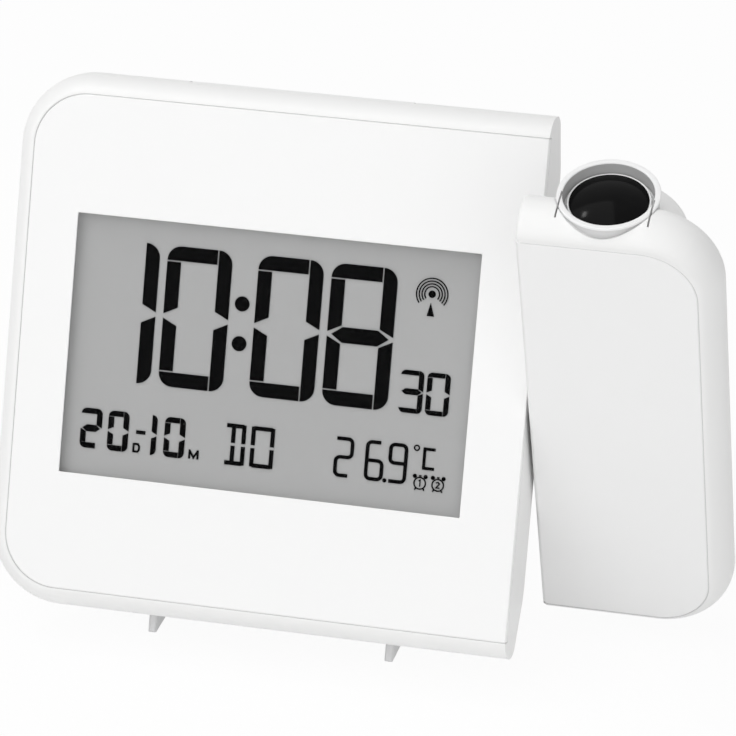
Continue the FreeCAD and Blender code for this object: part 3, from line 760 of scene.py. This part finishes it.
ring_section = [(6.8, 36.0), (7.35, 36.0), (7.35, 38.3), (7.95, 38.3), (8.05, 38.4), (8.05, 44.95)]
ring_section += lip(8.20, 45.10, 0.15, 270, 360)
ring_section += lip(8.13, 45.23, 0.22, 0, 90)
ring_section += lip(7.55, 45.25, 0.20, 90, 180)
ring_section += [(7.35, 42.7), (7.25, 42.6), (6.9, 42.6), (6.8, 42.5)]
ring = turned("focus_ring_turned", ring_section, trim_white, "focus_ring", "white_trim")

dome_radius = 17.0
dome_top = 45.05
lens_edge = 6.4
dome_steps = 24
dome = []
for step in range(dome_steps + 1):
    radius = lens_edge * (1 - step / dome_steps)
    dome.append((radius, dome_top - dome_radius + math.sqrt(dome_radius ** 2 - radius ** 2)))
lens_section = [(0.0, 42.32), (6.2, 42.32), (6.4, 42.5)] + dome
lens = turned("projection_lens", lens_section, lens_glass, "lens_carrier", "lens_black", closed=False)
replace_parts(lens, "objective_lens")

carrier_section = [(5.6, 38.5), (6.65, 38.5), (6.75, 38.6), (6.75, 43.68), (6.69, 43.75), (6.48, 43.75),
                   (6.42, 43.68), (6.42, 42.3), (5.6, 42.3)]
carrier = turned("lens_carrier_turned", carrier_section, trim_white, "lens_carrier", "white_trim")
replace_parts(carrier, "lens_cell")
print("turned parts:", ring.name, lens.name, carrier.name)

# %% [markdown]
# ## Two index slits
# The ring has two fine slits in its front half, and they run on in the casing below. A
# blade-thin cutter taken away from the turned ring leaves them, which is how a saw would
# make them. The Boolean modifier does it, and the result is kept as a plain mesh. The
# bore and the neck carry painted shade: a darker grey in the bore, a lighter grey on the neck under the lip.

# %% Slits in the ring
slit_width = 0.3
slit_offset = 7.45
slit_size = (slit_width, 4.6, 4.0, 1.0)
slit_front = 2.7
slit_height = 45.0
bore_floor = 42.7
bore_top = 45.2
neck_top = 44.94


def slit_cutter():
    work = bmesh.new()
    for side in (-1, 1):
        middle = Vector((lens_x + side * slit_offset, lens_y - slit_front, slit_height))
        size = Matrix.Diagonal(slit_size)
        bmesh.ops.create_cube(work, size=1.0, matrix=ARM @ Matrix.Translation(middle) @ size)
    mesh = bpy.data.meshes.new("slit_cutter")
    work.to_mesh(mesh)
    work.free()
    return bpy.data.objects.new("slit_cutter", mesh)


def saw_slits(piece):
    cutter = slit_cutter()
    bpy.context.scene.collection.objects.link(cutter)
    saw = piece.modifiers.new("saw", "BOOLEAN")
    saw.operation = "DIFFERENCE"
    saw.object = cutter
    settle(piece)
    bpy.data.objects.remove(cutter)
    smooth_by_angle(piece.data)


saw_slits(ring)
# Painted shade: the bore gets a darker grey and the neck under the lip a lighter grey.
for material in (bore_painted_shade, neck_painted_shade):
    ring.data.materials.append(material)
arm_back = ARM.inverted()
for polygon in ring.data.polygons:
    spot = arm_back @ polygon.center
    reach = math.hypot(spot.x - lens_x, spot.y - lens_y)
    if bore_floor < spot.z < bore_top and reach < 7.5:
        polygon.material_index = 1
    elif spot.z < neck_top and reach > 7.7:
        polygon.material_index = 2
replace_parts(ring, "focus_ring")
print("ring with slits:", len(ring.data.polygons), "faces")

# %% [markdown]
# ## A dust seal
# A soft white seal lies in the gap between the front of the ring and the casing. Its top
# follows the curved rim of the casing, read from a few heights of that rim, and stays a
# little below it. The same saw takes the two slits out of it.

# %% Dust seal in front of the ring
plate_top = 42.0
seal_highest = 44.9
seal_steps = 80
rim_heights = [(0.15, 0.75), (1.1, 1.85), (2.3, 2.65), (3.7, 3.2), (5.2, 3.4), (6.3, 3.32), (7.3, 3.05), (7.95, 2.7),
               (8.45, 2.2)]


def rim_height(y):
    """Height of the arm's rim above the plate's edge, at this depth behind the face."""
    for (y0, h0), (y1, h1) in zip(rim_heights, rim_heights[1:]):
        if y <= y1:
            return h0 + (h1 - h0) * (max(y, y0) - y0) / (y1 - y0)
    return rim_heights[-1][1]


def dust_seal(inner, outer, foot, below):
    """An arc round the front of the ring whose top follows the casing, a little below it."""
    work = bmesh.new()
    sections = []
    for step in range(seal_steps + 1):
        angle = math.radians(-172 + 164 * step / seal_steps)
        top = min(seal_highest, plate_top + rim_height(lens_y + outer * math.sin(angle)) - below)
        corners = ((inner, foot), (outer, foot), (outer, top), (inner, top))
        sections.append([work.verts.new(round_lens(radius, angle, height)) for radius, height in corners])
    for first, second in zip(sections, sections[1:]):
        for index in range(4):
            after = (index + 1) % 4
            work.faces.new((first[index], first[after], second[after], second[index]))
    work.faces.new(sections[0])
    work.faces.new(sections[-1][::-1])
    bmesh.ops.recalc_face_normals(work, faces=work.faces)
    mesh = bpy.data.meshes.new("ring_dust_seal")
    work.to_mesh(mesh)
    work.free()
    return add_piece("ring_dust_seal", mesh, seal_white, "projector_arm")


seal = dust_seal(inner=8.07, outer=8.58, foot=41.0, below=0.3)
saw_slits(seal)
print(seal.name, len(seal.data.polygons), "faces")

# %% [markdown]
# ## A recipe for what repeats
# Screws, coils and slot edges are one small shape used several times. Geometry Nodes say
# that directly: the tree makes the shape from named sizes, and puts it on every point it is
# given. The points are the bare corners of a mesh. Afterwards the result is kept as a plain
# mesh, because the export doesn't keep instances.

# %% Geometry recipes


class Recipe(Graph):
    """A Geometry Nodes tree with named sizes, in upright millimetres."""

    def __init__(self, name, **sizes):
        self.sizes = {label.replace("_", " "): value for label, value in sizes.items()}
        self.tree = bpy.data.node_groups.new(name, "GeometryNodeTree")
        self.tree.interface.new_socket("Points", in_out="INPUT", socket_type="NodeSocketGeometry")
        self.tree.interface.new_socket("Result", in_out="OUTPUT", socket_type="NodeSocketGeometry")
        for label, value in self.sizes.items():
            kind = "NodeSocketInt" if isinstance(value, int) else "NodeSocketFloat"
            self.tree.interface.new_socket(label, in_out="INPUT", socket_type=kind)
        self.given = self.tree.nodes.new("NodeGroupInput")
        self.result = self.tree.nodes.new("NodeGroupOutput")

    def size(self, label):
        return Wire(self, self.given.outputs[label])

    def vector(self, x=0.0, y=0.0, z=0.0):
        return self.node("ShaderNodeCombineXYZ", {}, {0: x, 1: y, 2: z})

    def joined(self, *shapes):
        made = self.tree.nodes.new("GeometryNodeJoinGeometry")
        for shape in shapes:
            self.tree.links.new(shape.socket, made.inputs[0])
        return Wire(self, made.outputs[0])

    def moved(self, shape, offset=(0.0, 0.0, 0.0), turn=(0.0, 0.0, 0.0)):
        return self.node("GeometryNodeTransform", {}, {"Geometry": shape, "Translation": offset, "Rotation": turn})

    def finish(self, shape, material, repeated=True):
        """Put the shape on every point, realize the instances and give them their material."""
        if repeated:
            points = self.size("Points")
            shape = self.node("GeometryNodeInstanceOnPoints", {}, {"Points": points, "Instance": shape})
        whole = self.node("GeometryNodeRealizeInstances", {}, {"Geometry": shape})
        dressed = self.node("GeometryNodeSetMaterial", {}, {"Geometry": whole, "Material": material})
        self.tree.links.new(dressed.socket, self.result.inputs[0])

    def make(self, name, points, place, body, slot, radius=0.0, degrees=sharp_turn, path=False):
        """Run the tree on these points, and keep the result as a plain mesh at its place."""
        mesh = bpy.data.meshes.new(name)
        steps = [(index, index + 1) for index in range(len(points) - 1)] if path else []
        mesh.from_pydata(points, steps, [])
        piece = bpy.data.objects.new(name, mesh)
        bpy.context.scene.collection.objects.link(piece)
        modifier = piece.modifiers.new(self.tree.name, "NODES")
        modifier.node_group = self.tree
        for item in self.tree.interface.items_tree:
            if item.name in self.sizes:
                modifier[item.identifier] = self.sizes[item.name]
        if radius:
            bevel = piece.modifiers.new("edge radius", "BEVEL")
            bevel.width = radius
            bevel.segments = 2
        settle(piece)
        piece.data.transform(place)
        smooth_by_angle(piece.data, degrees)
        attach(piece, body)
        print(name, len(piece.data.polygons), "faces")
        return piece


# %% [markdown]
# ## Screws
# Seven cross-head screws hold the two casings from the back, deep in their holes. One of
# them lies under the rear bulge and can't be seen. One recipe makes the screw: a flat head
# with two crossed slots taken out of it, and a plain shank. It is run twice, because four
# screws belong to the clock and three to the arm.

# %% Cross-head screws
quarter = math.pi / 2
head_back = 11.2


def screw_recipe():
    recipe = Recipe("cross head screws", head_radius=1.8, head_height=1.2, slot_width=0.4, slot_length=2.2,
                    slot_depth=0.5, shank_radius=0.88, shank_length=6.6)
    height = recipe.size("head height")
    head = recipe.node("GeometryNodeMeshCylinder", {}, {"Vertices": 32, "Radius": recipe.size("head radius"),
                                                        "Depth": height})
    head = recipe.moved(head, recipe.vector(z=-0.5 * height))
    long = recipe.size("slot length")
    wide = recipe.size("slot width")
    deep = 2 * recipe.size("slot depth")
    one = recipe.node("GeometryNodeMeshCube", {}, {"Size": recipe.vector(long, wide, deep)})
    other = recipe.node("GeometryNodeMeshCube", {}, {"Size": recipe.vector(wide, long, deep)})
    cross = recipe.node("GeometryNodeMeshBoolean", {"operation": "UNION"}, {"Mesh 2": recipe.joined(one, other)})
    head = recipe.node("GeometryNodeMeshBoolean", {"operation": "DIFFERENCE"}, {"Mesh 1": head, "Mesh 2": cross})
    length = recipe.size("shank length")
    shank = recipe.node("GeometryNodeMeshCylinder", {}, {"Vertices": 20, "Radius": recipe.size("shank radius"),
                                                         "Depth": length})
    shank = recipe.moved(shank, recipe.vector(z=-1.0 * height - 0.5 * length))
    recipe.finish(recipe.moved(recipe.joined(head, shank), turn=(-quarter, 0.0, 0.0)), zinc)
    return recipe


screw = screw_recipe()
clock_screws = [(x, head_back, z) for x, z in ((-34.0, 34.6), (37.6, 35.4), (-34.0, -34.6), (37.6, -36.6))]
arm_screws = [(x, head_back, z) for x, z in ((52.0, -33.0), (69.0, -32.0), (69.5, 33.0))]
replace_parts(screw.make("clock_cross_screws", clock_screws, CLOCK, "clock_body", "screw_steel"), "housing_screws")
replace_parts(screw.make("arm_cross_screws", arm_screws, ARM, "projector_arm", "screw_steel"), "arm_screws")

# %% [markdown]
# ## Coils
# A battery spring and the winding of the antenna are both a round wire that follows a
# spiral. The recipe sweeps a small circle along one. The springs have three wide turns,
# the winding has 58 turns that lie side by side on the ferrite rod.

# %% Springs and winding


def coil_recipe(name, material, radius, wire, turns, length, steps):
    recipe = Recipe(name, coil_radius=radius, wire_radius=wire, turns=turns, length=length, steps_a_turn=steps)
    path = recipe.node("GeometryNodeCurveSpiral", {}, {
        "Resolution": recipe.size("steps a turn"), "Rotations": recipe.size("turns"),
        "Start Radius": recipe.size("coil radius"), "End Radius": recipe.size("coil radius"),
        "Height": recipe.size("length")})
    wire_section = recipe.node("GeometryNodeCurvePrimitiveCircle", {}, {"Resolution": 8,
                                                                        "Radius": recipe.size("wire radius")})
    coil = recipe.node("GeometryNodeCurveToMesh", {}, {"Curve": path, "Profile Curve": wire_section,
                                                       "Fill Caps": True})
    recipe.finish(recipe.moved(coil, turn=(0.0, quarter, 0.0)), material)
    return recipe


springs = coil_recipe("contact springs", spring_plate, 3.0, 0.3, 3.0, 2.94, 32)
spring_ends = [(-35.72, 14.85, -8.1), (10.08, 14.85, -20.9)]
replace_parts(springs.make("coil_springs", spring_ends, CLOCK, "clock_body", "spring_steel", degrees=60),
            "battery_springs")

winding = coil_recipe("antenna winding", copper, 3.56, 0.135, 58.0, 15.7, 20)
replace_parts(winding.make("wound_coil", [(-8.85, 6.1, -33.0)], CLOCK, "clock_body", "copper_winding", degrees=60),
            "antenna_coil")

# %% [markdown]
# ## Sound slots
# The buzzer is heard through five slots in the back. Their mouths have a thin rolled edge,
# as moulders add to stiffen a grille. The recipe takes a rectangle, rounds its corners to
# half circles, sweeps a small circle along it, and repeats that at the slots' pitch.

# %% Rolled edges of the sound slots
slot_recipe = Recipe("slot edges", slot_width=1.2, slot_height=9.0, bead_radius=0.16)
slot_width = slot_recipe.size("slot width")
mouth = slot_recipe.node("GeometryNodeCurvePrimitiveQuadrilateral", {}, {"Width": slot_width,
                                                                         "Height": slot_recipe.size("slot height")})
mouth = slot_recipe.node("GeometryNodeFilletCurve", {"mode": "POLY"}, {
    "Curve": mouth, "Radius": 0.499 * slot_width, "Count": 8, "Limit Radius": True})
bead = slot_recipe.node("GeometryNodeCurvePrimitiveCircle", {}, {"Resolution": 10,
                                                                 "Radius": slot_recipe.size("bead radius")})
edge = slot_recipe.node("GeometryNodeCurveToMesh", {}, {"Curve": mouth, "Profile Curve": bead})
slot_recipe.finish(slot_recipe.moved(edge, turn=(quarter, 0.0, 0.0)), casing_white)
slot_places = [(26.5 + 2.8 * index, 21.98, -20.0) for index in (-2, -1, 0, 1, 2)]
slot_recipe.make("sound_slot_edges", slot_places, CLOCK, "clock_body", "white_casing", degrees=70)

# %% [markdown]
# ## The seam round the front plates
# Each front plate lies in a pocket, and a fine cord fills the gap at its edge. The cord's
# grey is painted shade: it stands for the shade in the seam, so the seam reads as a soft
# line and not as a black crack. The cord follows a path: two straight sides, two round
# corners and the end between them. The recipe turns such a path into a curve and sweeps a circle along it.

# %% Seam cords
cord_depth = 0.15
seam_recipe = Recipe("seam cord", cord_radius=0.12)
seam_path = seam_recipe.node("GeometryNodeMeshToCurve", {}, {"Mesh": seam_recipe.size("Points")})
cord_section = seam_recipe.node("GeometryNodeCurvePrimitiveCircle", {}, {
    "Resolution": 8, "Radius": seam_recipe.size("cord radius")})
cord = seam_recipe.node("GeometryNodeCurveToMesh", {}, {"Curve": seam_path, "Profile Curve": cord_section,
                                                       "Fill Caps": True})
# Painted shade: the cord's grey stands for the shade in the seam gap.
seam_recipe.finish(cord, seam_painted_shade, repeated=False)


def seam_points(flat_x, round_x, half_z, corner, drop=0.0):
    """Path along a plate's edge, from its flat end round the far side and back."""
    side = 1 if round_x > flat_x else -1
    inner = round_x - side * corner
    top = arc(0, half_z - corner, corner, 90, 0, 16)
    bottom = arc(0, corner - half_z, corner, 0, -90, 16)
    outline = [(flat_x, half_z)] + [(inner + side * x, z) for x, z in top + bottom] + [(flat_x, -half_z)]
    return [(x, cord_depth, z - drop) for x, z in outline]


seam_recipe.make("clock_seam_cord", seam_points(43.85, -43.88, 42.03, 9.23), CLOCK, "clock_body", "white_casing",
                 degrees=60, path=True)
seam_recipe.make("arm_seam_cord", seam_points(45.3, 73.65, 42.0, 9.3, drop=0.45), ARM, "projector_arm",
                 "white_casing", degrees=60, path=True)

# %% [markdown]
# ## Camera
# The photograph was taken from a little above and from the right, with a long lens and a
# level camera. The middle of the display fixes the camera's place: it lies on the ray
# through one pixel, at the distance that makes the display as large as it is there.

# %% Camera
frame_pixels = 736
focal_pixels = 4400.0
pixels_per_mm = 6.0
display_pixel_x = 270.0
display_pixel_y = 364.5
azimuth = math.radians(14.27)
elevation = math.radians(25.69)

ahead = -Vector((math.sin(azimuth) * math.cos(elevation), -math.cos(azimuth) * math.cos(elevation),
                 math.sin(elevation)))
across = Vector((math.cos(azimuth), math.sin(azimuth), 0))
above = across.cross(ahead)
offset_x = (display_pixel_x - frame_pixels / 2) / pixels_per_mm
offset_y = (display_pixel_y - frame_pixels / 2) / pixels_per_mm
distance = focal_pixels / pixels_per_mm
display_middle = CLOCK @ Vector((0, 0, 0))

lens_data = bpy.data.cameras.new("camera")
camera = bpy.data.objects.new("camera", lens_data)
bpy.context.scene.collection.objects.link(camera)
camera.matrix_world = Matrix((across, above, -ahead)).transposed().to_4x4()
camera.location = display_middle - MM * (across * offset_x - above * offset_y + ahead * distance)
lens_data.sensor_width = 36.0
lens_data.lens = lens_data.sensor_width * focal_pixels / frame_pixels
lens_data.clip_start = 0.05
lens_data.clip_end = 20.0
bpy.context.scene.camera = camera
print("camera", tuple(round(value, 3) for value in camera.location), "lens", round(lens_data.lens, 1), "mm")

# %% [markdown]
# ## Studio
# The clock stands on a white table in an evenly lit white room. The room's light comes
# from the world, at a plain level, and three large soft lamps shape the white casing, from
# the front right, the front left and above. A small one puts the glint on the lens. Camera,
# glossy and transmission rays see the room as pure white, while the light on the clock
# stays moderate. On the table a Mix Shader does the same in part, so the shadow remains.

# %% Table, world and lamps


def rays_that_look(graph):
    """1 for camera, glossy and transmission rays, 0 for the others."""
    seen = graph.node("ShaderNodeLightPath", output="Is Camera Ray")
    for label in ("Is Glossy Ray", "Is Transmission Ray"):
        seen = seen.maths("MAXIMUM", seen, graph.node("ShaderNodeLightPath", output=label))
    return seen


def table(whiteness):
    size = 1.6
    mesh = bpy.data.meshes.new("table")
    corners = [(-size, -size, 0), (size, -size, 0), (size, size, 0), (-size, size, 0)]
    mesh.from_pydata(corners, [], [(0, 1, 2, 3)])
    board = bpy.data.objects.new("table", mesh)
    bpy.context.scene.collection.objects.link(board)
    finish = Finish("table_white", (0.92, 0.92, 0.92), 0.85)
    finish.blend(finish.noise(12.0), (0.915, 0.915, 0.915), (0.925, 0.925, 0.925))
    white = finish.node("ShaderNodeEmission", {}, {"Color": (1.0, 1.0, 1.0, 1.0), "Strength": 1.0})
    mixed = finish.node("ShaderNodeMixShader", {}, {
        0: whiteness * rays_that_look(finish), 1: Wire(finish, finish.shader.outputs[0]), 2: white})
    finish.feed(finish.tree.nodes["Material Output"].inputs["Surface"], mixed)
    mesh.materials.append(finish.material)


class Room(Graph):
    """The world: a plain level of light, and pure white for the rays that look at it."""

    def __init__(self, level):
        world = bpy.data.worlds.new("room")
        world.use_nodes = True
        bpy.context.scene.world = world
        self.tree = world.node_tree
        self.tree.nodes.remove(self.tree.nodes["Background"])
        lit = self.node("ShaderNodeBackground", {}, {"Color": (1.0, 1.0, 1.0, 1.0), "Strength": level})
        seen = self.node("ShaderNodeBackground", {}, {"Color": (1.0, 1.0, 1.0, 1.0), "Strength": 1.0})
        mixed = self.node("ShaderNodeMixShader", {}, {0: rays_that_look(self), 1: lit, 2: seen})
        self.feed(self.tree.nodes["World Output"].inputs["Surface"], mixed)


def lamp(name, spot, target, size, watts):
    data = bpy.data.lights.new(name, "AREA")
    data.shape = "RECTANGLE"
    data.size = size[0]
    data.size_y = size[1]
    data.energy = watts
    light = bpy.data.objects.new(name, data)
    bpy.context.scene.collection.objects.link(light)
    light.location = spot
    light.rotation_euler = (Vector(target) - Vector(spot)).to_track_quat("-Z", "Y").to_euler()


table(0.94)
Room(0.375)
lamp("front", (0.60, -1.05, 0.46), (0, 0, 0.05), (1.5, 1.1), 5.05)
lamp("left", (-0.60, -0.75, 0.80), (0, 0, 0.05), (0.9, 0.9), 3.6)
lamp("top", (-0.38, -0.10, 1.18), (0, 0, 0.05), (0.9, 0.9), 3.9)
lamp("glint", (-0.57, 0.075, 1.24), (0.04, -0.02, 0.09), (0.14, 0.08), 1.0)
bpy.context.scene.view_settings.view_transform = "Standard"
print("studio ready")
